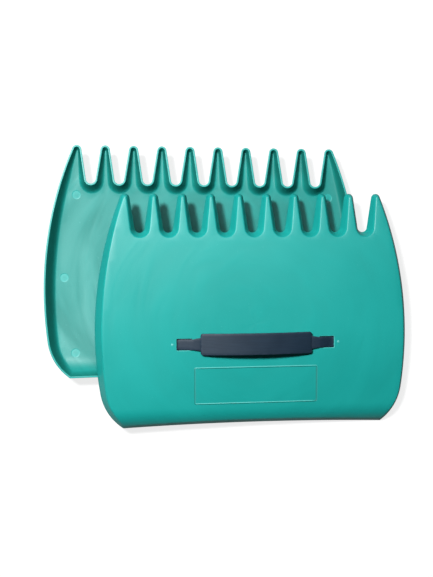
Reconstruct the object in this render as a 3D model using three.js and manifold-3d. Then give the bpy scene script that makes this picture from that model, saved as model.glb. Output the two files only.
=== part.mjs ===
// A pair of leaf grabber hands: two moulded scoops with ten tines each, and a hand strap on the back of each.
// The pair lies as it is put down: the rear scoop on its back, hollow side up, and the front scoop over it,
// hollow side down. Millimetres, +Z up, tines towards +Y, origin at the middle of the foot of the pair.
//
// Each scoop is made in its own frame: x across, y from the heel edge to the tine tips, and z up from the
// flat plane of the rim to the outside of the back.
import * as THREE from 'three';
import { mergeVertices } from 'three/addons/utils/BufferGeometryUtils.js';
import Module from 'manifold-3d';

const wasm = await Module();
wasm.setup();

// ---- driving dimensions of one scoop ----
const WIDTH = 360;              // widest, rim to rim
const LENGTH = 264.6;           // heel edge to tine tips
const WALL = 2;                 // moulded wall
const DRAFT = THREE.MathUtils.degToRad(21);
const TINES = 10;
const PITCH = 32.1;             // tine to tine
const TINE_LENGTH = 44;         // tip to the bottom of a gap
const TIP_RADIUS = 5.5;
const GAP_RADIUS = 5.3;
const WIDEST_Y = 105;           // where the sides are widest
const CORNER_RADIUS = 59;
const CORNER_Y = 49;            // height of the corner arc's centre
const HEEL_RISE = 3;            // the heel edge is a shallow arch
const CROWN_Y = 105;            // highest line of the back
const CROWN_HEIGHT = 20.5;      // back above the rim plane there
const CROWN_RADIUS = 1020;
const HEEL_RADIUS = 28;
const HEEL_ANGLE = THREE.MathUtils.degToRad(65);   // steepness of the heel wall at its edge
const HEEL_SET = 1.7;           // brings the foot of the heel wall to the ends of the heel edge

// ---- strap, its slots and its screws ----
const STRAP_Y = 95.4;
const SLOT = { near: 72.5, far: 89.6, width: 12.8 };
const PAD = { length: 126.3, width: 24.2, thickness: 3, corner: 3 };
const TAIL = { width: 11.8, widthAtPad: 14.6, thickness: 2, end: 101.5 };
const BOSS = { x: 94.5, radius: 3, height: 2.4, pilot: 1.7, skin: 0.9 };
const SCREW = { shank: 1.4, washer: 5, washerHeight: 0.9, head: 3.4, headHeight: 2.1, length: 3.4 };
const FIT = 0.3;                // gap between pieces that touch
const OVERCUT = 2;              // cutting bodies run past the faces they cut by this

// ---- label panel: a plain raised border ----
const LABEL = { halfWidth: 70.2, low: 27.3, high: 69.3, line: 1.4, rise: 0.5 };

// ---- how the pair lies ----
const FRONT_OFFSET = { x: 58.8, y: -57.4 };
const FRONT_TURN = THREE.MathUtils.degToRad(1.13);
const LEFT_REST_INSET = 4;      // the front scoop rests this far in from its left side
const FRONT_GAP = 0.9;          // clears the rear rim at the two places that carry the front scoop
const GROUND_GAP = 0.3;         // clears the ground at the heel corner that it leans on
const REAR_PAD_GAP = 0.5;       // the rear strap lies squashed against its scoop
const FRONT_PAD_GAP = 1;        // the front strap stands off by this at its ends
const FRONT_PAD_BOW = 8;        // and by this much more at the middle

const HALF_PI = Math.PI / 2;
const CROWN_CENTRE_Z = CROWN_HEIGHT - CROWN_RADIUS;
const backHeight = (y) => CROWN_CENTRE_Z + Math.sqrt(CROWN_RADIUS ** 2 - (y - CROWN_Y) ** 2);
const ceiling = backHeight(STRAP_Y) - WALL;       // inside of the back at the strap
const midShell = CROWN_HEIGHT - 8;                // inside the hollow, under all that is cut from above

// ---------------------------------------------------------------- solids

function solidOf(geometry) {
  const bare = geometry.clone();
  bare.deleteAttribute('normal');
  bare.deleteAttribute('uv');
  const merged = mergeVertices(bare, 1e-4);
  return new wasm.Manifold(new wasm.Mesh({
    numProp: 3,
    vertProperties: merged.attributes.position.array,
    triVerts: new Uint32Array(merged.index.array),
  }));
}

function geometryOf(solid) {
  const mesh = solid.getMesh();
  const geometry = new THREE.BufferGeometry();
  geometry.setAttribute('position', new THREE.BufferAttribute(mesh.vertProperties, 3));
  geometry.setIndex(new THREE.BufferAttribute(mesh.triVerts, 1));
  geometry.computeVertexNormals();
  return geometry;
}

const boxSolid = (low, high) => {
  const size = high.clone().sub(low);
  const middle = low.clone().add(high).multiplyScalar(0.5);
  return solidOf(new THREE.BoxGeometry(size.x, size.y, size.z).translate(middle.x, middle.y, middle.z));
};

const cylinderSolid = (radius, low, high, x, y) => {
  const upright = new THREE.CylinderGeometry(radius, radius, high - low, 24).rotateX(HALF_PI);
  return solidOf(upright.translate(x, y, (low + high) / 2));
};

// A shape in the x-y plane, extruded from low to high.
const plateSolid = (shape, low, high) => {
  const settings = { depth: high - low, bevelEnabled: false, curveSegments: 6 };
  return solidOf(new THREE.ExtrudeGeometry(shape, settings).translate(0, 0, low));
};

// ---------------------------------------------------------------- rim outline

const firstTip = -PITCH * (TINES - 1) / 2;
const tipY = LENGTH - TIP_RADIUS;
const gapY = LENGTH - TINE_LENGTH + GAP_RADIUS;
const tipToGap = new THREE.Vector2(PITCH / 2, gapY - tipY);
// Angle of a tine's flank from straight up: the line that touches a tip's circle and a gap's circle.
const FLANK = Math.atan2(tipToGap.x, -tipToGap.y)
  - Math.asin((TIP_RADIUS + GAP_RADIUS) / tipToGap.length());

// The side is one arc that passes the widest point and runs into the outer tine's tip.
const tipFromEdge = WIDTH / 2 + firstTip;
const sideRise = tipY - WIDEST_Y;
const SIDE_RADIUS = (tipFromEdge ** 2 + sideRise ** 2 - TIP_RADIUS ** 2) / (2 * (tipFromEdge - TIP_RADIUS));
const sideCentre = new THREE.Vector2(WIDTH / 2 - SIDE_RADIUS, WIDEST_Y);
// Level of the tine roots, a little short of the gaps, and the angle where the side passes it.
const rootY = LENGTH - TINE_LENGTH - 8;
const SIDE_ROOT = Math.asin((rootY - WIDEST_Y) / SIDE_RADIUS);
const cornerCentre = new THREE.Vector2(
  sideCentre.x + Math.sqrt((SIDE_RADIUS - CORNER_RADIUS) ** 2 - (CORNER_Y - WIDEST_Y) ** 2), CORNER_Y);
// Where the corner arc at an inset meets the line of the heel's ends.
const cornerEnd = (inset) => new THREE.Vector2(
  cornerCentre.x + Math.sqrt((CORNER_RADIUS - inset) ** 2 - (CORNER_Y - inset) ** 2), inset);

function arc(centre, radius, from, to, segments) {
  return Array.from({ length: segments + 1 }, (_, i) => {
    const angle = from + (to - from) * i / segments;
    return new THREE.Vector2(centre.x + radius * Math.cos(angle), centre.y + radius * Math.sin(angle));
  });
}

const angleTo = (from, to) => Math.atan2(to.y - from.y, to.x - from.x);

// Where the inner flank of the outer tine meets the side arc once the tip has closed to a point.
function outerPoint(inset) {
  const normal = new THREE.Vector2(-Math.cos(FLANK), Math.sin(FLANK));
  const along = new THREE.Vector2(Math.sin(FLANK), Math.cos(FLANK));
  const fromCentre = new THREE.Vector2(-firstTip, tipY).sub(sideCentre);
  const distance = fromCentre.dot(normal) + TIP_RADIUS - inset;
  const reach = Math.sqrt((SIDE_RADIUS - inset) ** 2 - distance ** 2);
  return sideCentre.clone().addScaledVector(normal, distance).addScaledVector(along, reach);
}

// Right half of the outline at an inset, anticlockwise: from the middle of the heel to the middle gap, or
// only up to the roots of the tines.
function halfOutline(inset, withTines) {
  const points = [];
  const heelEnd = cornerEnd(inset);
  const heelPoints = 5;
  for (let i = 0; i < heelPoints; i += 1) {
    const share = i / heelPoints;
    points.push(new THREE.Vector2(heelEnd.x * share, inset + HEEL_RISE * (1 - share ** 2)));
  }
  const sideStart = angleTo(sideCentre, cornerCentre);
  points.push(...arc(cornerCentre, CORNER_RADIUS - inset, angleTo(cornerCentre, heelEnd), sideStart, 6));

  const tipRadius = TIP_RADIUS - inset;
  const open = tipRadius > 0.02;
  const outerTip = new THREE.Vector2(-firstTip, tipY);
  const sideEnd = open ? angleTo(sideCentre, outerTip) : angleTo(sideCentre, outerPoint(inset));
  points.push(...arc(sideCentre, SIDE_RADIUS - inset, sideStart, SIDE_ROOT, 12).slice(1));
  if (!withTines) return points;
  points.push(...arc(sideCentre, SIDE_RADIUS - inset, SIDE_ROOT, sideEnd, 4).slice(1));
  const tipSegments = 6;
  for (let k = TINES - 1; k >= TINES / 2; k -= 1) {
    const tip = new THREE.Vector2(firstTip + k * PITCH, tipY);
    const outer = k === TINES - 1;
    if (open) {
      const tipArc = arc(tip, tipRadius, outer ? sideEnd : FLANK, Math.PI - FLANK, tipSegments);
      points.push(...tipArc.slice(outer ? 1 : 0));
    } else {
      const point = outer ? outerPoint(inset) : new THREE.Vector2(tip.x, tipY + tipRadius / Math.sin(FLANK));
      for (let i = outer ? 1 : 0; i <= tipSegments; i += 1) points.push(point.clone());
    }
    const gap = new THREE.Vector2(tip.x - PITCH / 2, gapY);
    const middle = k === TINES / 2;
    points.push(...arc(gap, GAP_RADIUS + inset, -FLANK, middle ? -HALF_PI : FLANK - Math.PI, middle ? 3 : 6));
  }
  return points;
}

function outline(inset, withTines) {
  const right = halfOutline(inset, withTines);
  const left = right.slice(1, withTines ? -1 : undefined).reverse().map((p) => new THREE.Vector2(-p.x, p.y));
  return [...right, ...left];
}

// A closed solid through matching loops, each { points, z }. Points that coincide are left out of the faces.
function loftSolid(loops) {
  const count = loops[0].points.length;
  const positions = loops.flatMap(({ points, z }) => points.flatMap((p) => [p.x, p.y, z]));
  const same = (a, b) => [0, 1, 2].every((k) => Math.abs(positions[3 * a + k] - positions[3 * b + k]) < 1e-3);
  const index = [];
  const face = (a, b, c) => {
    if (!same(a, b) && !same(b, c) && !same(a, c)) index.push(a, b, c);
  };
  for (let level = 0; level + 1 < loops.length; level += 1) {
    for (let i = 0; i < count; i += 1) {
      const a = level * count + i;
      const b = level * count + (i + 1) % count;
      face(a, b, b + count);
      face(a, b + count, a + count);
    }
  }
  const cap = (level, up) => {
    const { points } = loops[level];
    const kept = points.map((_, i) => i).filter((i) => points[i].distanceTo(points[(i + 1) % count]) > 1e-3);
    THREE.ShapeUtils.triangulateShape(kept.map((i) => points[i]), []).forEach(([a, b, c]) => {
      const [p, q, r] = [a, b, c].map((i) => level * count + kept[i]);
      if (up) face(p, q, r);
      else face(p, r, q);
    });
  };
  cap(0, false);
  cap(loops.length - 1, true);
  const geometry = new THREE.BufferGeometry();
  geometry.setAttribute('position', new THREE.Float32BufferAttribute(positions, 3));
  geometry.setIndex(index);
  return solidOf(geometry);
}

// ---------------------------------------------------------------- shell

// The heel round leaves the arched back here.
const heelArcY = HEEL_RADIUS * Math.sin(HEEL_ANGLE) - HEEL_SET;

function heelArcCentre(slope) {
  const start = new THREE.Vector2(heelArcY, backHeight(heelArcY));
  return new THREE.Vector2(start.x + HEEL_RADIUS * Math.sin(slope), start.y - HEEL_RADIUS * Math.cos(slope));
}

// Everything under the arched back, taken in by an offset: the long profile, extruded across the scoop.
function underBack(offset) {
  const margin = 5;             // the profile runs past the tips and below the rim by this
  const slopeAtHeel = Math.asin((CROWN_Y - heelArcY) / CROWN_RADIUS);
  const heelRadius = HEEL_RADIUS - offset;
  const heelCentre = heelArcCentre(slopeAtHeel);
  const back = arc(new THREE.Vector2(CROWN_Y, CROWN_CENTRE_Z), CROWN_RADIUS - offset,
    Math.acos((LENGTH + margin - CROWN_Y) / CROWN_RADIUS), HALF_PI + slopeAtHeel, 12);
  const heel = arc(heelCentre, heelRadius, HALF_PI + slopeAtHeel, HALF_PI + HEEL_ANGLE, 9).slice(1);
  const last = heel[heel.length - 1];
  const heelFoot = new THREE.Vector2(last.x - (last.y + margin) / Math.tan(HEEL_ANGLE), -margin);
  const shape = new THREE.Shape([...back, ...heel, heelFoot, new THREE.Vector2(LENGTH + margin, -margin)]);
  const across = WIDTH + 2 * margin;
  const geometry = new THREE.ExtrudeGeometry(shape, { depth: across, bevelEnabled: false, steps: 1 });
  // The shape's x and y become y and z, and the extrusion runs across.
  const turn = new THREE.Matrix4().makeBasis(
    new THREE.Vector3(0, 1, 0), new THREE.Vector3(0, 0, 1), new THREE.Vector3(1, 0, 0));
  return solidOf(geometry.applyMatrix4(turn).translate(-across / 2, 0, 0));
}

// The tapered block inside the rim outline, from z = low up, with its walls taken in by an offset.
function blockInRim(offset, low) {
  const insetAt = (z) => z * Math.tan(DRAFT) + offset / Math.cos(DRAFT);
  // The tips come to a point at this height.
  const closes = (TIP_RADIUS - offset / Math.cos(DRAFT)) / Math.tan(DRAFT);
  const tineTop = backHeight(rootY) + OVERCUT;
  const levels = [low, Math.min(closes, tineTop), tineTop].filter((z, i, all) => i === 0 || z > all[i - 1]);
  const block = (heights, withTines) => loftSolid(
    heights.map((z) => ({ z, points: outline(insetAt(z), withTines) })));
  return block(levels, true).add(block([low, CROWN_HEIGHT + OVERCUT], false));
}

function roundedRectangle(halfX, halfY, radius, y) {
  const shape = new THREE.Shape();
  [[1, 1], [-1, 1], [-1, -1], [1, -1]].forEach(([sx, sy], quarter) => {
    const start = quarter * HALF_PI;
    shape.absarc(sx * (halfX - radius), y + sy * (halfY - radius), radius, start, start + HALF_PI, false);
  });
  return shape;
}

function rectangle(x0, x1, y0, y1) {
  return new THREE.Shape([[x0, y0], [x1, y0], [x1, y1], [x0, y1]].map(([x, y]) => new THREE.Vector2(x, y)));
}

function labelBorder() {
  const { halfWidth, low, high, line, rise } = LABEL;
  const border = rectangle(-halfWidth, halfWidth, low, high);
  border.holes.push(rectangle(-halfWidth + line, halfWidth - line, low + line, high - line));
  return plateSolid(border, midShell, CROWN_HEIGHT + OVERCUT).intersect(underBack(-rise));
}

function shellGeometry() {
  let shell = blockInRim(0, 0).intersect(underBack(0));
  shell = shell.subtract(blockInRim(WALL, -OVERCUT).intersect(underBack(WALL)));
  shell = shell.add(labelBorder().subtract(underBack(WALL / 2)));
  for (const side of [-1, 1]) {
    const [x0, x1] = [side * SLOT.near, side * SLOT.far].sort((a, b) => a - b);
    const slot = rectangle(x0, x1, STRAP_Y - SLOT.width / 2, STRAP_Y + SLOT.width / 2);
    shell = shell.subtract(plateSolid(slot, midShell, CROWN_HEIGHT + OVERCUT));
    const x = side * BOSS.x;
    const foot = ceiling - BOSS.height;
    shell = shell.add(cylinderSolid(BOSS.radius, foot, ceiling + WALL / 2, x, STRAP_Y));
    shell = shell.subtract(cylinderSolid(BOSS.pilot, foot - OVERCUT, ceiling + WALL - BOSS.skin, x, STRAP_Y));
  }
  return geometryOf(shell);
}

// ---------------------------------------------------------------- strap and screws

// A strip of even thickness along a line of (x, z) points, as wide as given, centred on the strap line.
function stripSolid(line, thickness, width) {
  const side = (sign) => line.map((p, i) => {
    const before = line[Math.max(i - 1, 0)];
    const after = line[Math.min(i + 1, line.length - 1)];
    const along = after.clone().sub(before).normalize();
    return new THREE.Vector2(p.x - sign * along.y * thickness / 2, p.y + sign * along.x * thickness / 2);
  });
  const shape = new THREE.Shape([...side(-1), ...side(1).reverse()]);
  const geometry = new THREE.ExtrudeGeometry(shape, { depth: width, bevelEnabled: false });
  return solidOf(geometry.rotateX(HALF_PI).translate(0, STRAP_Y + width / 2, 0));
}

// Height of the middle of the pad above the rim plane, for a gap under its ends and a bow at its middle.
const padHeight = (x, gap, bow) => backHeight(STRAP_Y) + gap + PAD.thickness / 2
  + bow * (1 - (x / (PAD.length / 2)) ** 2);

function padGeometry(gap, bow) {
  const half = PAD.length / 2;
  const steps = bow > 0 ? 16 : 1;
  const line = Array.from({ length: steps + 1 }, (_, i) => {
    const x = (half + OVERCUT) * (2 * i / steps - 1);
    return new THREE.Vector2(x, padHeight(x, gap, bow));
  });
  const strip = stripSolid(line, PAD.thickness, PAD.width + OVERCUT);
  const plan = roundedRectangle(half, PAD.width / 2, PAD.corner, STRAP_Y);
  const top = CROWN_HEIGHT + gap + bow + PAD.thickness + OVERCUT;
  return geometryOf(strip.intersect(plateSolid(plan, midShell, top)));
}

// From the end of the pad, down through the slot and along under the back to the screw. It narrows from
// the pad to the slot.
function tailGeometry(side, gap) {
  const start = PAD.length / 2 + FIT;
  const level = padHeight(PAD.length / 2, gap, 0);
  const under = ceiling - FIT - TAIL.thickness / 2;
  const over = backHeight(STRAP_Y) + FIT + TAIL.thickness / 2;
  const bend = 0.3;             // rounds the corners at the slot's edges
  const line = [
    [start, level],
    [start + 1.5, level],
    [SLOT.near, over + bend],
    [SLOT.near + 2, over - bend],
    [SLOT.far - 3.5, under + bend],
    [SLOT.far - 1, under],
    [TAIL.end, under],
  ].map(([x, z]) => new THREE.Vector2(x, z));
  const strip = stripSolid(line, TAIL.thickness, TAIL.widthAtPad + OVERCUT);
  const atPad = TAIL.widthAtPad / 2;
  const half = TAIL.width / 2;
  const narrowed = SLOT.near - 1;
  const plan = new THREE.Shape([
    [start - OVERCUT, -atPad], [start, -atPad], [narrowed, -half], [TAIL.end + OVERCUT, -half],
    [TAIL.end + OVERCUT, half], [narrowed, half], [start, atPad], [start - OVERCUT, atPad],
  ].map(([x, y]) => new THREE.Vector2(x, STRAP_Y + y)));
  const eye = cylinderSolid(BOSS.radius + FIT, under - OVERCUT, under + OVERCUT, BOSS.x, STRAP_Y);
  const tail = strip.intersect(plateSolid(plan, under - OVERCUT, level + OVERCUT)).subtract(eye);
  return geometryOf(side > 0 ? tail : tail.mirror([1, 0, 0]));
}

// Washer-head self-tapping screw: cross recess in a pan head, and a plain shank in the boss.
function screwGeometry() {
  const top = SCREW.length;
  const flange = -SCREW.washerHeight;
  const head = flange - SCREW.headHeight;
  const profile = [
    [0, head], [SCREW.head * 0.75, head], [SCREW.head, head + 0.8], [SCREW.head, flange],
    [SCREW.washer, flange], [SCREW.washer, 0], [SCREW.shank, 0], [SCREW.shank, top - 1], [0, top],
  ].map(([x, y]) => new THREE.Vector2(x, y));
  const turned = solidOf(new THREE.LatheGeometry(profile, 16).rotateX(HALF_PI));
  const recess = (along, across) => boxSolid(
    new THREE.Vector3(-along, -across, head - 1), new THREE.Vector3(along, across, head + 1.3));
  return geometryOf(turned.subtract(recess(2, 0.45)).subtract(recess(0.45, 2)));
}

// ---------------------------------------------------------------- the two scoops

const material = (color, roughness) => new THREE.MeshStandardMaterial({ color, roughness, metalness: 0 });
const tealPlastic = material(0x3fb5aa, 0.42);
const navyStrap = material(0x26364a, 0.6);
const screwSteel = new THREE.MeshStandardMaterial({ color: 0xb9bcc0, roughness: 0.35, metalness: 1 });

function scoop(name, leftSide, padGap, padBow) {
  const group = new THREE.Group();
  const add = (piece, geometry, look) => {
    const mesh = new THREE.Mesh(geometry, look);
    mesh.name = `${name}_${piece}`;
    group.add(mesh);
    return mesh;
  };
  add('shell', shellGeometry(), tealPlastic);
  add('strap_pad', padGeometry(padGap, padBow), navyStrap);
  for (const [label, side] of [['left', leftSide], ['right', -leftSide]]) {
    add(`strap_tail_${label}`, tailGeometry(side, padGap), navyStrap);
    const screw = add(`screw_${label}`, screwGeometry(), screwSteel);
    screw.position.set(side * BOSS.x, STRAP_Y, ceiling - BOSS.height - FIT);
  }
  return group;
}

const rimHeight = CROWN_HEIGHT + REAR_PAD_GAP + PAD.thickness;

// The rear scoop lies on its strap, hollow side up.
const rear = scoop('rear', 1, REAR_PAD_GAP, 0);
rear.rotation.y = Math.PI;
rear.position.z = rimHeight;

// The front scoop leans on the rear rim at its own left side and at its ninth tine, and its right heel
// corner reaches the ground. Those two places make the line that it is tilted about.
const front = scoop('front', -1, FRONT_PAD_GAP, FRONT_PAD_BOW);
const leftRest = new THREE.Vector3(-WIDTH / 2 + LEFT_REST_INSET, -FRONT_OFFSET.y, 0);
const tineRest = new THREE.Vector3(firstTip + (TINES - 2) * PITCH, LENGTH, 0);
const heelCorner = new THREE.Vector3(cornerEnd(0).x, 0, 0);
const hinge = tineRest.clone().sub(leftRest).normalize();
const reach = heelCorner.clone().sub(leftRest).cross(hinge).length();
const tilt = new THREE.Quaternion().setFromAxisAngle(
  hinge, Math.asin((rimHeight + FRONT_GAP - GROUND_GAP) / reach));
const turn = new THREE.Quaternion().setFromAxisAngle(new THREE.Vector3(0, 0, 1), FRONT_TURN);
front.quaternion.copy(turn).multiply(tilt);
const leftRestNow = leftRest.clone().applyQuaternion(front.quaternion);
front.position.set(
  leftRest.x + FRONT_OFFSET.x - leftRestNow.x,
  leftRest.y + FRONT_OFFSET.y - leftRestNow.y,
  rimHeight + FRONT_GAP - leftRestNow.z,
);

const pair = new THREE.Group();
pair.add(rear, front);

// The origin is the middle of the pair's foot.
const bounds = new THREE.Box3().setFromObject(pair, true);
const middle = bounds.getCenter(new THREE.Vector3());
pair.position.set(-middle.x, -middle.y, -bounds.min.z);

export default pair;
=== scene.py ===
"""Looks of a pair of leaf grabber hands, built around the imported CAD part.

Each scoop is made in its own frame, in millimetres: x across, y from the heel edge to the tine tips, and
z up from the flat plane of the rim to the outside of the back. It is then placed in the row frame, in
metres.
"""

import math

import bpy
import numpy as np
from mathutils import Matrix, Quaternion, Vector
from mathutils.geometry import delaunay_2d_cdt


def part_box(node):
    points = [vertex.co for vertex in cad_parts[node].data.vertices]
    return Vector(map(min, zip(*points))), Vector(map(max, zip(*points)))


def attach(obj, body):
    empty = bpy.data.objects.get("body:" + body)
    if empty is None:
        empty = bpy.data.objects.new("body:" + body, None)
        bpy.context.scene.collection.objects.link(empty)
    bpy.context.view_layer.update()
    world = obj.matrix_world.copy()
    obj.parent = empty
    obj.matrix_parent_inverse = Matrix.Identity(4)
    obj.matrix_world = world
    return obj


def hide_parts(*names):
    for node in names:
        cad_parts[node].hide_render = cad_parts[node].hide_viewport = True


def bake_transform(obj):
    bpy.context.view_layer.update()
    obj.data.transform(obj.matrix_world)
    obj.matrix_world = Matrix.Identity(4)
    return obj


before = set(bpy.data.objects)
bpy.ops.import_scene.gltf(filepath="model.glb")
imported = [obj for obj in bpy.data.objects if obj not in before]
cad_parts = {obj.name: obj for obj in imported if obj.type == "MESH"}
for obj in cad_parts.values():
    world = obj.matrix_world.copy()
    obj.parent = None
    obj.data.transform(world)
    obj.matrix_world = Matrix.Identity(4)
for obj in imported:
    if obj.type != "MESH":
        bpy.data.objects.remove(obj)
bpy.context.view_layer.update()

MM = 0.001
HALF_PI = math.pi / 2

# ---------------------------------------------------------------- dimensions, as in the CAD part
WIDTH, LENGTH, WALL = 360, 264.6, 2
DRAFT = math.radians(21)
TINES, PITCH, TINE_LENGTH = 10, 32.1, 44
TIP_RADIUS, GAP_RADIUS = 5.5, 5.3
WIDEST_Y = 105
CORNER_RADIUS, CORNER_Y = 59, 49
HEEL_RISE, HEEL_RADIUS, HEEL_ANGLE = 3, 28, math.radians(65)
HEEL_SET = 1.7                  # brings the foot of the heel wall to the ends of the heel edge
CROWN_Y, CROWN_HEIGHT, CROWN_RADIUS = 105, 20.5, 1020
STRAP_Y = 95.4
SLOT_NEAR, SLOT_FAR, SLOT_WIDTH = 72.5, 89.6, 12.8
PAD_LENGTH, PAD_WIDTH, PAD_THICKNESS, PAD_CORNER = 126.3, 24.2, 3, 2.6
TAIL_WIDTH, TAIL_WIDTH_AT_PAD, TAIL_THICKNESS, TAIL_END, TAIL_CORNER = 11.8, 14.6, 2, 101.5, 1.4
BOSS_X, BOSS_RADIUS, BOSS_HEIGHT, BOSS_PILOT, BOSS_SKIN = 94.5, 3, 2.4, 1.7, 0.9
FIT = 0.3
REAR_GAP, FRONT_GAP, FRONT_BOW = 0.5, 1, 8          # strap pads: gap under the ends, bow at the middle
FRONT_OFFSET, FRONT_TURN = (58.8, -57.4), math.radians(1.13)
REST_GAP, GROUND_GAP, LEFT_REST_INSET = 0.9, 0.3, 4
LABEL_HALF_WIDTH, LABEL_LOW, LABEL_HIGH, LABEL_LINE, LABEL_RISE = 70.2, 27.3, 69.3, 1.4, 0.5

# ---------------------------------------------------------------- finish of the mouldings
EDGE_ROUND, INNER_ROUND = 4, 7  # depth of the soft round between the walls and the back
INNER_ROUND_END_Y, INNER_ROUND_TAPER, INNER_ROUND_LEAST = 228, 0.2, 0.8     # it dies away into the tines
ROUND_LOOPS = 9
RIM_ROUND = 0.4
SLOT_ROUND = 0.6
SLOT_CORNER = 0.9
EJECTOR_RADIUS, EJECTOR_STEP = 4.9, 0.12
GATE = (0, 118)                 # the moulding was filled from here
EJECTOR_PLACES = ((145.5, 209.5), (159, 114.5), (145, 28.5), (60, 30))      # and mirrored
EJECTORS = [(side * x, y) for x, y in EJECTOR_PLACES for side in (-1, 1)] + [GATE]
LABEL_CORNER = 1.9
LABEL_SHADE, LABEL_CREST_HIGHLIGHT, LABEL_HIGHLIGHT = -1.0, 0.2, 1.5    # marks of the label line: painted shade on one flank, painted highlight on the crest and the other flank
DOT_RADIUS, DOT_HEIGHT = 1.5, 0.4
HOLLOW_SHADE_MARK = -0.5                   # mark of the painted shade over the back inside the hollow: -1, the darkest, is the steep inner wall, 0 the outside
GUARD = 0.35                    # a loop this far off keeps the skin flat around each raised feature
SHARP_ANGLE, SCREW_SHARP_ANGLE = math.radians(60), math.radians(40)


# ---------------------------------------------------------------- rim outline
HEEL_STEPS, CORNER_STEPS, SIDE_STEPS = 18, 18, 40
TIP_STEPS, FLANK_STEPS, GAP_STEPS = 12, 7, 16


def arc(centre, radius, start, end, count):
    angle = np.linspace(start, end, count + 1)
    return np.column_stack([centre[0] + radius * np.cos(angle), centre[1] + radius * np.sin(angle)])


def angle_to(centre, point):
    return math.atan2(point[1] - centre[1], point[0] - centre[0])


def between(start, end, count):
    share = np.arange(1, count)[:, None] / count
    return start + (end - start) * share


FIRST_TIP = -PITCH * (TINES - 1) / 2
TIP_Y = LENGTH - TIP_RADIUS
GAP_Y = LENGTH - TINE_LENGTH + GAP_RADIUS
FLANK = (math.atan2(PITCH / 2, TIP_Y - GAP_Y)
         - math.asin((TIP_RADIUS + GAP_RADIUS) / math.hypot(PITCH / 2, TIP_Y - GAP_Y)))
tip_from_edge, side_rise = WIDTH / 2 + FIRST_TIP, TIP_Y - WIDEST_Y
SIDE_RADIUS = (tip_from_edge ** 2 + side_rise ** 2 - TIP_RADIUS ** 2) / (2 * (tip_from_edge - TIP_RADIUS))
SIDE = (WIDTH / 2 - SIDE_RADIUS, WIDEST_Y)
SIDE_END = angle_to(SIDE, (-FIRST_TIP, TIP_Y))
CORNER = (SIDE[0] + math.sqrt((SIDE_RADIUS - CORNER_RADIUS) ** 2 - (CORNER_Y - WIDEST_Y) ** 2), CORNER_Y)
SIDE_START = angle_to(SIDE, CORNER)
HEEL_CORNER_X = CORNER[0] + math.sqrt(CORNER_RADIUS ** 2 - CORNER_Y ** 2)


def outline(inset):
    """The whole outline at an inset, anticlockwise from the middle of the heel. Point i of one inset
    answers to point i of any other."""
    radius = CORNER_RADIUS - inset
    corner_end = (CORNER[0] + math.sqrt(radius ** 2 - (CORNER_Y - inset) ** 2), inset)
    share = np.linspace(0, 1, HEEL_STEPS + 1)[:-1]
    parts = [np.column_stack([corner_end[0] * share, inset + HEEL_RISE * (1 - share ** 2)]),
             arc(CORNER, radius, angle_to(CORNER, corner_end), SIDE_START, CORNER_STEPS),
             arc(SIDE, SIDE_RADIUS - inset, SIDE_START, SIDE_END, SIDE_STEPS)[1:]]
    tip_radius = TIP_RADIUS - inset
    for k in range(TINES - 1, TINES // 2 - 1, -1):
        tip = (FIRST_TIP + k * PITCH, TIP_Y)
        outer, middle = k == TINES - 1, k == TINES // 2
        tip_arc = arc(tip, tip_radius, SIDE_END if outer else FLANK, math.pi - FLANK, TIP_STEPS)
        if outer:
            tip_arc = tip_arc[1:]
        else:
            parts.append(between(parts[-1][-1], tip_arc[0], FLANK_STEPS))
        gap = (tip[0] - PITCH / 2, GAP_Y)
        gap_end, gap_steps = (-HALF_PI, GAP_STEPS // 2) if middle else (FLANK - math.pi, GAP_STEPS)
        gap_arc = arc(gap, GAP_RADIUS + inset, -FLANK, gap_end, gap_steps)
        parts += [tip_arc, between(tip_arc[-1], gap_arc[0], FLANK_STEPS), gap_arc]
    right = np.vstack(parts)
    left = right[1:-1][::-1] * (-1, 1)
    return np.vstack([right, left])


INSET_STEP, INSET_REACH = 0.25, 13
OUTLINES = np.stack([outline(step * INSET_STEP) for step in range(int(INSET_REACH / INSET_STEP) + 1)])
RING = OUTLINES.shape[1]


def at_inset(inset):
    """The outline with an inset of its own for each point."""
    step = np.broadcast_to(np.asarray(inset, float) / INSET_STEP, (RING,))
    low = np.clip(step.astype(int), 0, len(OUTLINES) - 2)
    share = (step - low)[:, None]
    point = np.arange(RING)
    return OUTLINES[low, point] * (1 - share) + OUTLINES[low + 1, point] * share


# ---------------------------------------------------------------- heights
CROWN_Z = CROWN_HEIGHT - CROWN_RADIUS
HEEL_ARC_Y = HEEL_RADIUS * math.sin(HEEL_ANGLE) - HEEL_SET
HEEL_SLOPE = math.asin((CROWN_Y - HEEL_ARC_Y) / CROWN_RADIUS)
HEEL_CENTRE = (HEEL_ARC_Y + HEEL_RADIUS * math.sin(HEEL_SLOPE),
               CROWN_Z + math.sqrt(CROWN_RADIUS ** 2 - (HEEL_ARC_Y - CROWN_Y) ** 2)
               - HEEL_RADIUS * math.cos(HEEL_SLOPE))


def back(y, offset=0):
    """Height of the back, taken in by an offset: a long arch, a heel round, and a straight heel wall."""
    y = np.asarray(y, float)
    radius = HEEL_RADIUS - offset
    arch = CROWN_Z + np.sqrt((CROWN_RADIUS - offset) ** 2 - (y - CROWN_Y) ** 2)
    heel = HEEL_CENTRE[1] + np.sqrt(np.maximum(radius ** 2 - (y - HEEL_CENTRE[0]) ** 2, 0))
    foot_y = HEEL_CENTRE[0] - radius * math.sin(HEEL_ANGLE)
    foot_z = HEEL_CENTRE[1] + radius * math.cos(HEEL_ANGLE)
    heel = np.where(y < foot_y, foot_z + (y - foot_y) * math.tan(HEEL_ANGLE), heel)
    return np.where(y < HEEL_CENTRE[0] - radius * math.sin(HEEL_SLOPE), heel, arch)


def rounding(y, top, offset):
    """Depth of the round between wall and back. Inside the narrow tines it is smaller."""
    soft = EDGE_ROUND
    if offset:
        taper = (y - INNER_ROUND_END_Y) * INNER_ROUND_TAPER
        soft = np.clip(INNER_ROUND - taper, INNER_ROUND_LEAST, INNER_ROUND)
    return np.maximum(np.minimum(soft, top), 1e-3)


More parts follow.
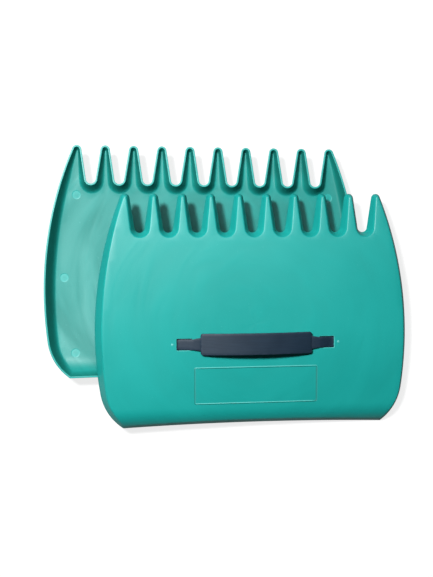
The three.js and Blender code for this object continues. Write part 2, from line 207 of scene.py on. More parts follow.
def skin_height(inset, y, offset):
    """Height of the skin: the lower of wall and back, with the round between them."""
    wall = (inset - offset / math.cos(DRAFT)) / math.tan(DRAFT)
    top = back(y, offset)
    depth = rounding(y, top, offset)
    near = np.clip(depth - np.abs(wall - top), 0, None) / depth
    return np.maximum(np.minimum(wall, top) - near ** 2 * depth / 4, 0)


def round_inset(offset, side):
    """Inset at each point where the round starts (side -1) or ends (side 1)."""
    low = np.full(RING, offset / math.cos(DRAFT))
    high = np.full(RING, float(INSET_REACH))
    for _ in range(30):
        middle = (low + high) / 2
        y = at_inset(middle)[:, 1]
        top = back(y, offset)
        wall = (middle - offset / math.cos(DRAFT)) / math.tan(DRAFT)
        past = wall - top - side * rounding(y, top, offset) > 0
        high, low = np.where(past, middle, high), np.where(past, low, middle)
    return high


# ---------------------------------------------------------------- mesh pieces
RING_CLEARANCE, LOOP_CLEARANCE = 1.6, 1.2   # between grid points and a filled ring, or its features


class Shape:
    """Vertices in millimetres with an edge and a mark value each, and faces, anticlockwise from outside."""

    def __init__(self):
        self.points, self.edge, self.mark, self.faces = [], [], [], []

    def loop(self, xy, z, edge=0.0, mark=0.0):
        first = len(self.points)
        heights = np.broadcast_to(z, (len(xy),))
        self.points += [(p[0], p[1], h) for p, h in zip(xy, heights)]
        self.edge += list(np.broadcast_to(edge, (len(xy),)))
        self.mark += list(np.broadcast_to(mark, (len(xy),)))
        return list(range(first, first + len(xy)))

    def band(self, upper, lower):
        for i in range(len(upper)):
            j = (i + 1) % len(upper)
            self.faces.append((lower[i], lower[j], upper[j], upper[i]))

    def fill(self, ring, height, features, grid, up, skin=0.0):
        """Fills a ring with triangles at a height, through a grid of points. Each feature is a list of
        (loop, rise, mark), outermost first, and a hole if it ends in None. Where a mark is 0 the skin's
        own mark is used. Returns the holes' last loops."""
        boundary = np.array([self.points[i][:2] for i in ring])
        loops = [loop for feature in features for loop in feature if loop is not None]
        holes = [feature[-2][0] for feature in features if feature[-1] is None]
        keep = inside(grid, boundary) & (distance(grid, boundary) > RING_CLEARANCE)
        for points, _, _ in loops:
            keep &= distance(grid, points) > LOOP_CLEARANCE
        for hole in holes:
            keep &= ~inside(grid, hole)
        numbers, flat, edges = list(ring), [boundary], [closed(0, len(ring))]
        last = {}
        for points, rise, mark in loops:
            edges.append(closed(len(numbers), len(points)))
            flat.append(points)
            marks = np.where(np.equal(mark, 0), skin, mark)
            last[id(points)] = self.loop(points, height(points) + rise, mark=marks)
            numbers += last[id(points)]
        flat.append(grid[keep])
        numbers += self.loop(grid[keep], height(grid[keep]), mark=skin)
        flat = np.vstack(flat)
        made, _, triangles, sources, _, _ = delaunay_2d_cdt(
            [Vector(p) for p in flat], np.vstack(edges).tolist(), [], 1, 1e-6)
        place = np.array([(p.x, p.y) for p in made])
        triangles = np.array(triangles)
        centre = place[triangles].mean(1)
        wanted = np.ones(len(triangles), bool)
        for hole in holes:
            wanted &= ~inside(centre, hole)
        for a, b, c in triangles[wanted]:
            turn = np.cross(place[b] - place[a], place[c] - place[a]) > 0
            face = [numbers[sources[v][0]] for v in (a, b, c)]
            self.faces.append(tuple(face if turn == up else face[::-1]))
        return [last[id(hole)] for hole in holes]


def closed(first, count):
    index = np.arange(count)
    return np.column_stack([first + index, first + (index + 1) % count])


def inside(points, polygon):
    x, y = points[:, :1], points[:, 1:]
    (x0, y0), (x1, y1) = polygon.T, np.roll(polygon, -1, 0).T
    rise = np.where(y1 == y0, 1, y1 - y0)
    crossing = ((y0 > y) != (y1 > y)) & (x < x0 + (y - y0) * (x1 - x0) / rise)
    return crossing.sum(1) % 2 == 1


def distance(points, polygon):
    start, along = polygon, np.roll(polygon, -1, 0) - polygon
    offset = points[:, None] - start
    share = np.clip((offset * along).sum(2) / np.maximum((along ** 2).sum(1), 1e-12), 0, 1)
    return np.linalg.norm(offset - along * share[..., None], axis=2).min(1)


def rounded_rectangle(centre, half_x, half_y, radius, step=6.0, turns=4):
    """Anticlockwise loop. Its sides are cut by the unrounded size, so loops of one family match."""
    across, up = half_x - radius, half_y - radius
    points = []
    for sx, sy, quarter in ((1, 1, 0), (-1, 1, 1), (-1, -1, 2), (1, -1, 3)):
        corner = (centre[0] + sx * across, centre[1] + sy * up)
        bend = arc(corner, radius, quarter * HALF_PI, (quarter + 1) * HALF_PI, turns)
        points.append(bend)
        side = 2 * (across if quarter % 2 == 0 else up)
        direction = np.array([(-1, 0), (0, -1), (1, 0), (0, 1)][quarter])
        points.append(between(bend[-1], bend[-1] + direction * side, max(1, round(side / step))))
    return np.vstack([p for p in points if len(p)])


def circle(centre, radius, count=24):
    return arc(centre, radius, 0, 2 * math.pi, count)[:-1]


def grid_points(columns, rows):
    return np.array([(x, y) for y in rows for x in columns], float)


# ---------------------------------------------------------------- shell
def slot_loops(side, direction, edge):
    """A strap slot's rounded edge, going down (direction -1) from the outside or up from the inside."""
    centre = (side * (SLOT_NEAR + SLOT_FAR) / 2, STRAP_Y)
    half = ((SLOT_FAR - SLOT_NEAR) / 2, SLOT_WIDTH / 2)
    # The marks paint a highlight along the slot's rounded edge.
    profile = ((edge + GUARD, 0.0, 0.0), (edge, 0.0, 0.8), (edge * 0.3, edge * 0.3, 1.6), (0.0, edge, 0.8))
    loops = []
    for out, deep, mark in profile:
        loop = rounded_rectangle(centre, half[0] + out, half[1] + out, SLOT_CORNER + out, 3.0)
        loops.append((loop, direction * deep, mark))
    return loops + [None]


def label_loops():
    """The raised line around the label panel. Its flanks that face the tines or the right get a painted
    highlight, and the flanks that face the heel or the left get a painted shade."""
    middle = (0, (LABEL_LOW + LABEL_HIGH) / 2)
    half_height = (LABEL_HIGH - LABEL_LOW) / 2
    # Inset, share of the rise, and where the line faces: 1 outward, -1 inward, 0 up, None on plain skin.
    profile = ((-GUARD, 0, None), (0, 0, 1), (0.35, 0.8, 1), (0.7, 1, 0), (1.05, 0.8, -1),
               (LABEL_LINE, 0, -1), (LABEL_LINE + GUARD, 0, None))
    loops = []
    for inset, share, facing in profile:
        half = (LABEL_HALF_WIDTH - inset, half_height - inset)
        loop = rounded_rectangle(middle, *half, LABEL_CORNER - inset)
        mark = 0.0
        if facing is not None:
            across, up = loop[:, 0] / LABEL_HALF_WIDTH, (loop[:, 1] - middle[1]) / half_height
            side = np.sign(np.where(np.abs(across) > np.abs(up), across, up)) * facing
            mark = np.interp(side, (-1, 0, 1), (LABEL_SHADE, LABEL_CREST_HIGHLIGHT, LABEL_HIGHLIGHT))
        loops.append((loop, share * LABEL_RISE, mark))
    return loops


def dot_loops(side):
    """The small dome outside, over a screw boss, pale partly from stress whitening and partly as a painted
    glint. The profile is reach, share of height, mark.
    """
    profile = ((1.3, 0, 0.0), (1, 0, 0.4), (0.75, 0.45, 2.2), (0.4, 0.9, 2.2), (0.1, 1, 2.2))
    return [(circle((side * BOSS_X, STRAP_Y), DOT_RADIUS * reach, 12), DOT_HEIGHT * share, mark)
            for reach, share, mark in profile]


def boss_loops(side):
    """A screw boss under the back: foot, wall and end, and then the blind pilot hole up into the wall."""
    pilot = WALL - BOSS_SKIN
    profile = ((3.95, 0), (3.6, 0), (3.15, -0.35), (BOSS_RADIUS, -0.8),
               (2.98, 0.2 - BOSS_HEIGHT), (2.8, -BOSS_HEIGHT),
               (BOSS_PILOT + 0.1, -BOSS_HEIGHT), (BOSS_PILOT, 0.1 - BOSS_HEIGHT),
               (BOSS_PILOT - 0.02, pilot - 0.05), (BOSS_PILOT - 0.3, pilot))
    return [(circle((side * BOSS_X, STRAP_Y), radius), rise, 0.0) for radius, rise in profile]


def ejector_loops(x, y):
    """The shallow round step that an ejector pin leaves. The profile is radius, rise, mark."""
    profile = ((EJECTOR_RADIUS + GUARD, 0.0, 0.0), (EJECTOR_RADIUS, 0.0, -0.2),
               (EJECTOR_RADIUS - 0.2, EJECTOR_STEP, 0.3), (EJECTOR_RADIUS - 0.6, EJECTOR_STEP, 0.3),
               (EJECTOR_RADIUS * 0.55, EJECTOR_STEP * 0.9, -0.05))
    loops = [(circle((x, y), radius), rise, mark) for radius, rise, mark in profile]
    return loops + [(circle((x, y), EJECTOR_RADIUS * 0.2, 8), EJECTOR_STEP * 0.8, -0.15)]


def shell_shape():
    shape = Shape()
    shoulder = WALL / math.cos(DRAFT)
    # The rounded rim: insets and heights from the outer wall, round under the flat edge, to the inner wall.
    sharp = (HALF_PI - DRAFT) / 2
    outer_back = RIM_ROUND / math.tan(sharp)
    inner_back = RIM_ROUND * math.tan(sharp)
    turns = np.linspace(math.pi - DRAFT, 1.5 * math.pi, 5)
    rim = [(outer_back + RIM_ROUND * math.cos(t), RIM_ROUND * (1 + math.sin(t))) for t in turns]
    turns = np.linspace(1.5 * math.pi, 2 * math.pi - DRAFT, 4)
    rim += [(shoulder - inner_back + RIM_ROUND * math.cos(t), RIM_ROUND * (1 + math.sin(t))) for t in turns]

    def rings(offset, first):
        """Insets from the rim up to the end of the round, lowest first."""
        start = np.maximum(round_inset(offset, -1), first + 0.5)
        end = np.maximum(round_inset(offset, 1), start + 0.3)
        insets = [first + (start - first) * share for share in (0, 0.4, 0.8)]
        insets += [start + (end - start) * share for share in np.linspace(0, 1, ROUND_LOOPS)]
        edges = [0.5, 0, 0] + list(np.sin(np.linspace(0, math.pi, ROUND_LOOPS)) * 0.5)
        made = []
        for inset, edge in zip(insets, edges):
            xy = at_inset(inset)
            made.append((xy, skin_height(inset, xy[:, 1], offset), edge))
        return made

    chain = [shape.loop(xy, z, edge) for xy, z, edge in reversed(rings(0, rim[0][0]))]
    chain += [shape.loop(at_inset(inset), z, 0.7) for inset, z in rim[1:-1]]
    inner = rings(WALL, rim[-1][0])
    # Painted shade inside: darkest on the inner wall and round, lighter on the back of the hollow.
    painted_shade = np.interp(np.arange(len(inner)), (0, 3, 6, 11), (-1, -1, -0.85, HOLLOW_SHADE_MARK))     # wall, round, back
    chain += [shape.loop(xy, z, edge * 0.3, mark) for (xy, z, edge), mark in zip(inner, painted_shade)]
    for upper, lower in zip(chain, chain[1:]):
        shape.band(upper, lower)

    rows = np.concatenate([np.arange(4, 30, 2.5), np.arange(30, LENGTH - 4, 6)])
    grid = grid_points(np.arange(-175, 176, 7), rows)
    sides = (-1, 1)
    outside = [slot_loops(side, -1, SLOT_ROUND) for side in sides] + [dot_loops(side) for side in sides]
    tops = shape.fill(chain[0], lambda p: back(p[:, 1]), outside + [label_loops()], grid, True)
    within = [slot_loops(side, 1, SLOT_ROUND * 0.6) for side in sides]
    within += [boss_loops(side) for side in sides] + [ejector_loops(*place) for place in EJECTORS]
    bottoms = shape.fill(chain[-1], lambda p: back(p[:, 1], WALL), within, grid, False, HOLLOW_SHADE_MARK)
    for top, bottom in zip(tops, bottoms):
        shape.band(bottom, top)
    return shape


# ---------------------------------------------------------------- strap
def plate_shape(loop_at, middle, half, holes, grid, edge=0.5):
    """A flexible plate with rounded edges: loop_at gives its plan at an inset, and middle its height."""
    shape = Shape()
    turn = np.linspace(0, HALF_PI, 4)
    profile = [(edge * (1 - math.sin(t)), half - edge * (1 - math.cos(t))) for t in turn]
    profile += [(inset, -z) for inset, z in reversed(profile)]
    chain = []
    for inset, z in profile:
        xy = loop_at(inset)
        chain.append(shape.loop(xy, middle(xy[:, 0]) + z, 1.0))
    for upper, lower in zip(chain, chain[1:]):
        shape.band(upper, lower)
    hole = [[(points, 0.0, 0.0), None] for points in holes]
    tops = shape.fill(chain[0], lambda p: middle(p[:, 0]) + half, hole, grid, True)
    bottoms = shape.fill(chain[-1], lambda p: middle(p[:, 0]) - half, hole, grid, False)
    for top, bottom in zip(tops, bottoms):
        shape.band(bottom, top)
    return shape


def pad_height(x, gap, bow):
    """Height of the middle of the pad's thickness."""
    share = np.asarray(x) / (PAD_LENGTH / 2)
    return float(back(STRAP_Y)) + gap + PAD_THICKNESS / 2 + bow * (1 - share ** 2)


def pad_shape(gap, bow):
    def plan(inset):
        half = (PAD_LENGTH / 2 - inset, PAD_WIDTH / 2 - inset)
        return rounded_rectangle((0, STRAP_Y), *half, PAD_CORNER - inset, 3.0, 5)
    grid = grid_points(np.arange(-60, 61, 4), STRAP_Y + np.arange(-9, 10, 3))
    return plate_shape(plan, lambda x: pad_height(x, gap, bow), PAD_THICKNESS / 2, [], grid, 0.7)


def tail_shape(side, gap):
    """From just inside the end of the pad, down through the slot and along under the back to the screw."""
    level = float(pad_height(PAD_LENGTH / 2, gap, 0))
    ceiling = float(back(STRAP_Y)) - WALL
    under = ceiling - FIT - TAIL_THICKNESS / 2
    over = float(back(STRAP_Y)) + FIT + TAIL_THICKNESS / 2
    # Level out of the pad, down over the near edge of the slot, and level again past its far edge.
    line = np.array([(PAD_LENGTH / 2 - 2, level), (PAD_LENGTH / 2 + 1.8, level), (SLOT_NEAR, over + 0.3),
                     (SLOT_NEAR + 2, over - 0.3), (SLOT_FAR - 3.5, under + 0.3), (SLOT_FAR - 1, under),
                     (TAIL_END, under)])
    for _ in range(3):                       # corner cutting, which keeps the ends
        cut = np.repeat(line, 2, axis=0)[1:-1]
        cut[0::2] = line[:-1] * 0.75 + line[1:] * 0.25
        cut[1::2] = line[:-1] * 0.25 + line[1:] * 0.75
        line = np.vstack([line[:1], cut, line[-1:]])
    start, end = line[0, 0], TAIL_END

    def plan(inset):
        loop = rounded_rectangle((side * (start + end) / 2, STRAP_Y), (end - start) / 2 - inset,
                                 TAIL_WIDTH / 2 - inset, TAIL_CORNER - inset, 1.5)
        taper = (PAD_LENGTH / 2, SLOT_NEAR - 1)
        wide = np.interp(np.abs(loop[:, 0]), taper, (TAIL_WIDTH_AT_PAD, TAIL_WIDTH))
        loop[:, 1] = STRAP_Y + (loop[:, 1] - STRAP_Y) * wide / TAIL_WIDTH
        return loop

    def middle(x):
        return np.interp(np.abs(x), line[:, 0], line[:, 1])
    grid = grid_points(side * np.arange(start + 1.5, end - 1, 1.5), STRAP_Y + np.arange(-4, 5, 2))
    eye = circle((side * BOSS_X, STRAP_Y), BOSS_RADIUS + FIT)
    return plate_shape(plan, middle, TAIL_THICKNESS / 2, [eye], grid, 0.4)


# ---------------------------------------------------------------- placing
low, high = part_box("rear_shell")
PAIR = Matrix.Translation(((low.x + high.x) / 2 / MM, low.y / MM, 0))
RIM_HEIGHT = CROWN_HEIGHT + REAR_GAP + PAD_THICKNESS
PAIR_DROP = high.z / MM - RIM_HEIGHT


def rear_place():
    return PAIR @ Matrix.Translation((0, 0, RIM_HEIGHT + PAIR_DROP)) @ Matrix.Rotation(math.pi, 4, "Y")


def front_place():
    """The front scoop leans on the rear rim at its left side and at its ninth tine, down to the ground."""
    left_rest = Vector((LEFT_REST_INSET - WIDTH / 2, -FRONT_OFFSET[1], 0))
    tine_rest = Vector((FIRST_TIP + (TINES - 2) * PITCH, LENGTH, 0))
    hinge = (tine_rest - left_rest).normalized()
    reach = (Vector((HEEL_CORNER_X, 0, 0)) - left_rest).cross(hinge).length
    tilt = Quaternion(hinge, math.asin((RIM_HEIGHT + REST_GAP - GROUND_GAP) / reach))
    turned = Quaternion((0, 0, 1), FRONT_TURN) @ tilt
    moved = turned @ left_rest
    place = Vector((left_rest.x + FRONT_OFFSET[0] - moved.x, left_rest.y + FRONT_OFFSET[1] - moved.y,
                    RIM_HEIGHT + REST_GAP + PAIR_DROP - moved.z))
    return PAIR @ Matrix.Translation(place) @ turned.to_matrix().to_4x4()


def attribute(mesh, name, kind, values):
    made = mesh.attributes.new(name, kind, "POINT")
    field = "vector" if kind == "FLOAT_VECTOR" else "value"
    made.data.foreach_set(field, np.asarray(values, np.float32).ravel())


def make_object(name, shape, place, material):
    points = np.array(shape.points, float)
    turn = np.array(place)[:3, :3]
    mesh = bpy.data.meshes.new(name)
    mesh.from_pydata(((points @ turn.T + np.array(place)[:3, 3]) * MM).tolist(), [], shape.faces)
    mesh.polygons.foreach_set("use_smooth", np.ones(len(mesh.polygons), bool))
    mesh.set_sharp_from_angle(angle=SHARP_ANGLE)
    attribute(mesh, "scoop", "FLOAT_VECTOR", points * MM)
    attribute(mesh, "edge", "FLOAT", shape.edge)
    attribute(mesh, "mark", "FLOAT", shape.mark)
    mesh.materials.append(material)
    made = bpy.data.objects.new(name, mesh)
    bpy.context.scene.collection.objects.link(made)
    return made


# ---------------------------------------------------------------- materials
class Nodes:
    """Short names for building a material's node tree."""

    def __init__(self, name):
        self.material = bpy.data.materials.new(name)
        self.material.use_nodes = True
        self.tree = self.material.node_tree
        self.shader = self.tree.nodes["Principled BSDF"]

    def put(self, socket, value):
        if isinstance(value, bpy.types.NodeSocket):
            self.tree.links.new(value, socket)
        else:
            socket.default_value = value

    def add(self, kind, settings=None, **inputs):
        node = self.tree.nodes.new(kind)
        for key, value in (settings or {}).items():
            setattr(node, key, value)
        for key, value in inputs.items():
            self.put(node.inputs[key.replace("_", " ")], value)
        return node

    def named(self, name, output):
        return self.add("ShaderNodeAttribute", {"attribute_name": name}).outputs[output]

    def stretch(self, vector, scale, turn=(0, 0, 0)):
        return self.add("ShaderNodeMapping", Vector=vector, Scale=scale, Rotation=turn).outputs["Vector"]

    def noise(self, vector, scale, detail=2.0, roughness=0.5, distortion=0.0):
        node = self.add("ShaderNodeTexNoise", Vector=vector, Scale=scale, Detail=detail,
                        Roughness=roughness, Distortion=distortion)
        return node.outputs["Fac"]

    def remap(self, value, low, high, to_low=0.0, to_high=1.0):
        node = self.add("ShaderNodeMapRange", {"clamp": True}, Value=value)
        for key, number in (("From Min", low), ("From Max", high), ("To Min", to_low), ("To Max", to_high)):
            node.inputs[key].default_value = number
        return node.outputs["Result"]

    def vector(self, operation, *values):
        node = self.add("ShaderNodeVectorMath", {"operation": operation})
        for socket, value in zip(node.inputs, values):
            self.put(socket, value)
        return node.outputs["Value" if operation == "LENGTH" else "Vector"]

    def rings(self, place, centre, turns, rate):
        """Noise that is drawn out around a centre, into broken arcs."""
        offset = self.vector("SUBTRACT", place, centre)
        reach = self.vector("LENGTH", offset)
        around = self.vector("MULTIPLY", self.vector("NORMALIZE", offset), (turns, turns, 0))
        outward = self.add("ShaderNodeCombineXYZ", Z=self.math("MULTIPLY", reach, rate))
        arcs = self.noise(self.vector("ADD", around, outward.outputs["Vector"]), 1.0, 2.0, 0.5, 0.5)
        return self.math("MULTIPLY", arcs, self.remap(reach, 0.03, 0.12, 0.7, 1.0))

    def math(self, operation, a, b):
        node = self.add("ShaderNodeMath", {"operation": operation})
        self.put(node.inputs[0], a)
        self.put(node.inputs[1], b)
        return node.outputs[0]

    def mix(self, share, a, b):
        node = self.add("ShaderNodeMix", {"data_type": "RGBA"})
        self.put(node.inputs[0], share)
        self.put(node.inputs[6], a)
        self.put(node.inputs[7], b)
        return node.outputs[2]

    def bump(self, height, strength, depth, normal=None):
        node = self.add("ShaderNodeBump", Height=height, Strength=strength, Distance=depth)
        if normal is not None:
            self.put(node.inputs["Normal"], normal)
        return node.outputs["Normal"]

    def finish(self, colour, roughness, normal, **constants):
        self.put(self.shader.inputs["Base Color"], colour)
        self.put(self.shader.inputs["Roughness"], roughness)
        self.put(self.shader.inputs["Normal"], normal)
        for key, value in constants.items():
            self.shader.inputs[key.replace("_", " ")].default_value = value
        return self.material


def teal_plastic():
    """Moulded polypropylene: satin skin with faint flow marks that also carry painted sheen bands, pale
    ejector marks and fine scuffs, plus painted shade in the hollow and painted highlights set by the mark
    attribute.
    """
    n = Nodes("teal_plastic")
    place = n.named("scoop", "Vector")
    cloud = n.noise(place, 7.0, 3.0, 0.55)
    flow = n.rings(place, (GATE[0] * MM, GATE[1] * MM, 0.018), 1.3, 42.0)
    grain = n.noise(place, 1500.0, 2.0, 0.6)
    speck = n.remap(n.noise(place, 420.0, 2.0, 0.5), 0.70, 0.78)
    scuff_lines = n.noise(n.stretch(place, (40, 900, 40), (0, 0, math.radians(17))), 1.0, 2.0, 0.5)
    scuff_zone = n.remap(n.noise(place, 26.0, 2.0, 0.5), 0.56, 0.72)
    scuff = n.math("MULTIPLY", n.remap(scuff_lines, 0.60, 0.70), scuff_zone)
    edge = n.named("edge", "Fac")
    rub = n.math("MULTIPLY", n.remap(edge, 0.55, 1.0), n.remap(n.noise(place, 160.0, 3.0, 0.6), 0.42, 0.75))
    mark = n.named("mark", "Fac")

    colour = n.mix(n.remap(cloud, 0.3, 0.7), (0.0060, 0.370, 0.335, 1), (0.0080, 0.420, 0.382, 1))
    hollow = n.remap(mark, 0.0, HOLLOW_SHADE_MARK, 0.22, 1.0)
    # Pale and dark arcs along the flow: flow marks with painted sheen bands laid on them, strongest in the
    # hollow.
    pale_flow_and_sheen_arcs = n.math("MULTIPLY", n.remap(flow, 0.46, 0.64, 0.0, 0.6), hollow)
    dark_flow_and_sheen_arcs = n.math("MULTIPLY", n.remap(flow, 0.46, 0.34, 0.0, 0.35), hollow)
    colour = n.mix(pale_flow_and_sheen_arcs, colour, (0.022, 0.51, 0.47, 1))
    colour = n.mix(dark_flow_and_sheen_arcs, colour, (0.004, 0.27, 0.24, 1))
    # Painted shade where the mark is below 0: darkest on the inner walls and round, lighter over the
    # hollow's back and on the label line's shaded flanks. The ejector marks get less of it.
    colour = n.mix(n.remap(mark, 0.0, -1.0, 0.0, 0.70), colour, (0.002, 0.110, 0.082, 1))
    # Paler where the mark is above 0: painted highlight on the label line's lit flanks and crest and on the
    # slot edges, a painted glint that is partly stress whitening on the dot, and the ejector steps' own
    # pale tone.
    colour = n.mix(n.math("MULTIPLY", n.math("MAXIMUM", mark, 0.0), 0.30), colour, (0.16, 0.66, 0.63, 1))
    colour = n.mix(n.math("MULTIPLY", speck, 0.22), colour, (0.10, 0.60, 0.57, 1))
    colour = n.mix(n.math("MULTIPLY", rub, 0.35), colour, (0.12, 0.60, 0.56, 1))
    rough = n.remap(cloud, 0.3, 0.7, 0.37, 0.43)
    rough = n.math("ADD", rough, n.math("MULTIPLY", n.remap(flow, 0.38, 0.62, 0.16, 0.03), hollow))
    rough = n.math("ADD", rough, n.math("MULTIPLY", scuff, 0.10))
    rough = n.math("ADD", rough, n.math("MULTIPLY", rub, 0.08))
    normal = n.bump(flow, 0.35, 0.0012)
    normal = n.bump(grain, 0.16, 0.00005, normal)
    normal = n.bump(scuff, 0.10, 0.00003, normal)
    return n.finish(colour, rough, normal, IOR=1.49)


def navy_strap():
    """Flexible moulded band: matte navy with fine lengthwise drag marks and rubbed edges."""
    n = Nodes("navy_strap")
    place = n.named("scoop", "Vector")
    cloud = n.noise(place, 30.0, 3.0, 0.55)
    drag = n.noise(n.stretch(place, (30, 1100, 300)), 1.0, 3.0, 0.6)
    grain = n.noise(place, 2200.0, 2.0, 0.6)
    edge = n.named("edge", "Fac")
    rub = n.math("MULTIPLY", n.remap(edge, 0.3, 1.0), n.remap(n.noise(place, 240.0, 3.0, 0.6), 0.40, 0.75))
    colour = n.mix(n.remap(cloud, 0.3, 0.7), (0.0035, 0.0185, 0.0400, 1), (0.0055, 0.0240, 0.0500, 1))
    colour = n.mix(n.remap(drag, 0.45, 0.75, 0.0, 0.4), colour, (0.018, 0.044, 0.080, 1))
    colour = n.mix(n.math("MULTIPLY", rub, 0.35), colour, (0.060, 0.085, 0.130, 1))
    rough = n.math("ADD", n.remap(cloud, 0.3, 0.7, 0.50, 0.58), n.remap(drag, 0.4, 0.8, 0.03, -0.05))
    normal = n.bump(drag, 0.25, 0.00006)
    normal = n.bump(grain, 0.15, 0.00004, normal)
    return n.finish(colour, rough, normal, IOR=1.5)


def screw_steel():
    """Zinc-plated steel, dulled unevenly."""
    n = Nodes("screw_steel")
    place = n.named("scoop", "Vector")
    cloud = n.noise(place, 500.0, 3.0, 0.6)
    fine = n.noise(place, 4000.0, 2.0, 0.5)
    colour = n.mix(n.remap(cloud, 0.35, 0.7), (0.50, 0.51, 0.53, 1), (0.68, 0.69, 0.70, 1))
    rough = n.remap(cloud, 0.3, 0.7, 0.26, 0.42)
    return n.finish(colour, rough, n.bump(fine, 0.15, 0.00002), Metallic=1.0)


TEAL, NAVY, STEEL = teal_plastic(), navy_strap(), screw_steel()

# ---------------------------------------------------------------- screws
# Radius and height from the seat of the washer: shank in the boss, washer, and rounded head below.
SCREW_PROFILE = [(0.02, 3.4), (1.0, 3.1), (1.4, 2.5), (1.4, 0.1),
                 (1.6, 0), (4.7, 0), (4.95, -0.12), (5, -0.45), (4.95, -0.78), (4.7, -0.9),
                 (3.5, -0.9), (3.4, -1.05), (3.4, -2.0), (3.2, -2.45), (2.8, -2.75), (2.3, -2.93),
                 (1.6, -3.0), (0.02, -3.0)]
SCREW_TURNS = 48
SCREW_SEAT = float(back(STRAP_Y)) - WALL - BOSS_HEIGHT - FIT
CROSS_LENGTH, CROSS_WIDTH = 2, 0.42         # half of each arm
CROSS_DEPTH, CROSS_MOUTH = 1.7, 4           # bottom of the cross, and a level clear of the head
CROSS_AT_BOTTOM, CROSS_AT_MOUTH = 0.6, 1.05


def screw_shape(side):
    shape = Shape()
    centre = (side * BOSS_X, STRAP_Y)
    rings = [shape.loop(circle(centre, radius, SCREW_TURNS), SCREW_SEAT + z) for radius, z in SCREW_PROFILE]
    for upper, lower in zip(rings, rings[1:]):
        shape.band(upper, lower)
    shape.faces.append(tuple(rings[0]))
    shape.faces.append(tuple(reversed(rings[-1])))
    return shape


def cut_cross(screw, side, place):
    """Cuts the driver's cross into the head. The cutter narrows upward, and is applied to the mesh."""
    shape = Shape()
    long, thin = CROSS_LENGTH, CROSS_WIDTH
    arms = np.array([(long, -thin), (long, thin), (thin, thin), (thin, long), (-thin, long), (-thin, thin),
                     (-long, thin), (-long, -thin), (-thin, -thin), (-thin, -long), (thin, -long),
                     (thin, -thin)])
    centre = (side * BOSS_X, STRAP_Y)
    upper = shape.loop(arms * CROSS_AT_BOTTOM + centre, SCREW_SEAT - CROSS_DEPTH)
    lower = shape.loop(arms * CROSS_AT_MOUTH + centre, SCREW_SEAT - CROSS_MOUTH)
    shape.band(upper, lower)
    shape.faces += [tuple(upper), tuple(reversed(lower))]
    cutter = make_object("cutter", shape, place, STEEL)
    cut = screw.modifiers.new("cross", "BOOLEAN")
    cut.operation, cut.solver, cut.object = "DIFFERENCE", "EXACT", cutter
    evaluated = screw.evaluated_get(bpy.context.evaluated_depsgraph_get())
    mesh = bpy.data.meshes.new_from_object(evaluated)
    screw.modifiers.clear()
    screw.data = mesh
    mesh.set_sharp_from_angle(angle=SCREW_SHARP_ANGLE)
    bpy.data.objects.remove(cutter)


# ---------------------------------------------------------------- the two scoops
def build_scoop(name, place, left_side, gap, bow):
    scoop, strap = f"{name}_scoop", f"{name}_strap"
    shell = make_object(f"{name}_shell_moulding", shell_shape(), place, TEAL)
    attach(shell, scoop)
    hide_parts(f"{name}_shell")
    pad = make_object(f"{name}_pad_band", pad_shape(gap, bow), place, NAVY)
    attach(pad, strap)
    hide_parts(f"{name}_strap_pad")
    for label, side in (("left", left_side), ("right", -left_side)):
        tail = make_object(f"{name}_tail_band_{label}", tail_shape(side, gap), place, NAVY)
        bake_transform(tail)
        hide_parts(f"{name}_strap_tail_{label}")
        screw = make_object(f"{name}_washer_screw_{label}", screw_shape(side), place, STEEL)
        cut_cross(screw, side, place)
        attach(screw, scoop)
        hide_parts(f"{name}_screw_{label}")


build_scoop("rear", rear_place(), 1, REAR_GAP, 0)
build_scoop("front", front_place(), -1, FRONT_GAP, FRONT_BOW)

# ---------------------------------------------------------------- camera
CAMERA_AT = Vector((-0.0711, -0.0595, 1.0174))
CAMERA_BACK = Vector((-0.06923, -0.04081, 0.99677))
CAMERA_UP = Vector((-0.00536, 0.99916, 0.04053))
CAMERA_LENS, CAMERA_SENSOR, CAMERA_SHIFT = 54.59, 36, (-0.0178, 0.0260)


def make_camera():
    data = bpy.data.cameras.new("camera")
    data.sensor_width, data.lens = CAMERA_SENSOR, CAMERA_LENS
    data.shift_x, data.shift_y = CAMERA_SHIFT
    camera = bpy.data.objects.new("camera", data)
    back_axis = CAMERA_BACK.normalized()
    right = CAMERA_UP.cross(back_axis).normalized()
    up = back_axis.cross(right)
    turn = Matrix((right, up, back_axis)).transposed().to_4x4()
    camera.matrix_world = Matrix.Translation(CAMERA_AT) @ turn
    bpy.context.scene.collection.objects.link(camera)
    bpy.context.scene.camera = camera


# ---------------------------------------------------------------- floor and light
FLOOR_HALF, FLOOR_Z = 6.0, -0.0006
FLOOR_GLOW, FLOOR_GLOW_SEEN = 0.06, 0.80    # emission on the object, and as the camera sees it


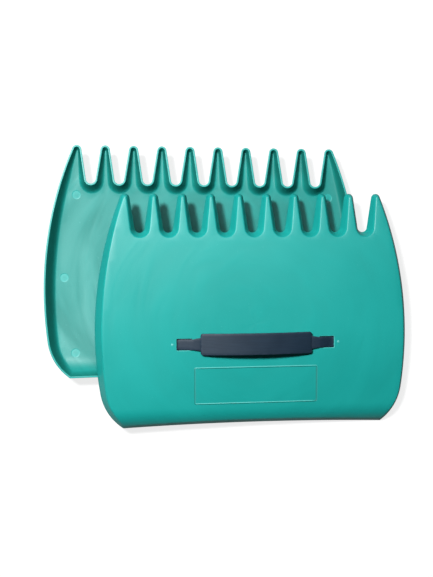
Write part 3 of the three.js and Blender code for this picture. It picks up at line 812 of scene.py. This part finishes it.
def make_floor():
    n = Nodes("pale_floor")
    place = n.add("ShaderNodeTexCoord").outputs["Object"]
    colour = n.mix(n.noise(place, 6.0), (0.24, 0.24, 0.24, 1), (0.27, 0.27, 0.27, 1))
    rough = n.remap(n.noise(place, 40.0), 0.3, 0.7, 0.75, 0.85)
    grain = n.bump(n.noise(place, 300.0), 0.05, 0.0002)
    material = n.finish(colour, rough, grain, Emission_Color=(1, 1, 1, 1))
    seen = n.add("ShaderNodeLightPath").outputs["Is Camera Ray"]
    n.put(n.shader.inputs["Emission Strength"], n.remap(seen, 0.0, 1.0, FLOOR_GLOW, FLOOR_GLOW_SEEN))
    mesh = bpy.data.meshes.new("floor")
    corners = [(x * FLOOR_HALF, y * FLOOR_HALF, FLOOR_Z) for x, y in ((-1, -1), (1, -1), (1, 1), (-1, 1))]
    mesh.from_pydata(corners, [], [(0, 1, 2, 3)])
    mesh.materials.append(material)
    floor = bpy.data.objects.new("floor", mesh)
    bpy.context.scene.collection.objects.link(floor)


def area_light(name, place, target, size, power):
    data = bpy.data.lights.new(name, "AREA")
    data.shape, data.size, data.size_y = "RECTANGLE", size[0], size[1]
    data.energy = power
    light = bpy.data.objects.new(name, data)
    light.location = place
    light.rotation_euler = (Vector(target) - Vector(place)).to_track_quat("-Z", "Y").to_euler()
    bpy.context.scene.collection.objects.link(light)
    return light


def make_world(fill, seen):
    """An even studio, with one brightness for lighting the object and another as the camera sees it."""
    world = bpy.data.worlds.new("studio")
    world.use_nodes = True
    tree = world.node_tree
    background = tree.nodes["Background"]
    path = tree.nodes.new("ShaderNodeLightPath")
    mix = tree.nodes.new("ShaderNodeMix")
    mix.data_type = "RGBA"
    mix.inputs[6].default_value = (fill, fill, fill * 1.04, 1)
    mix.inputs[7].default_value = (seen, seen, seen, 1)
    tree.links.new(path.outputs["Is Camera Ray"], mix.inputs[0])
    tree.links.new(mix.outputs[2], background.inputs["Color"])
    bpy.context.scene.world = world


make_camera()
make_floor()
# The key light makes the shadows. The top light only fills, and the sheen light only adds gloss.
area_light("key", (-0.57, 0.40, 1.3), (0.0, 0.0, 0.0), (0.20, 0.20), 23)
area_light("top", (-0.12, 0.40, 1.10), (-0.05, 0.0, 0.0), (0.8, 0.4), 3.0).visible_glossy = False
area_light("sheen", (-0.06, 0.60, 1.05), (-0.05, 0.0, 0.0), (1.0, 0.4), 6.5).visible_diffuse = False
make_world(0.03, 0.81)
bpy.context.scene.view_settings.view_transform = "Standard"
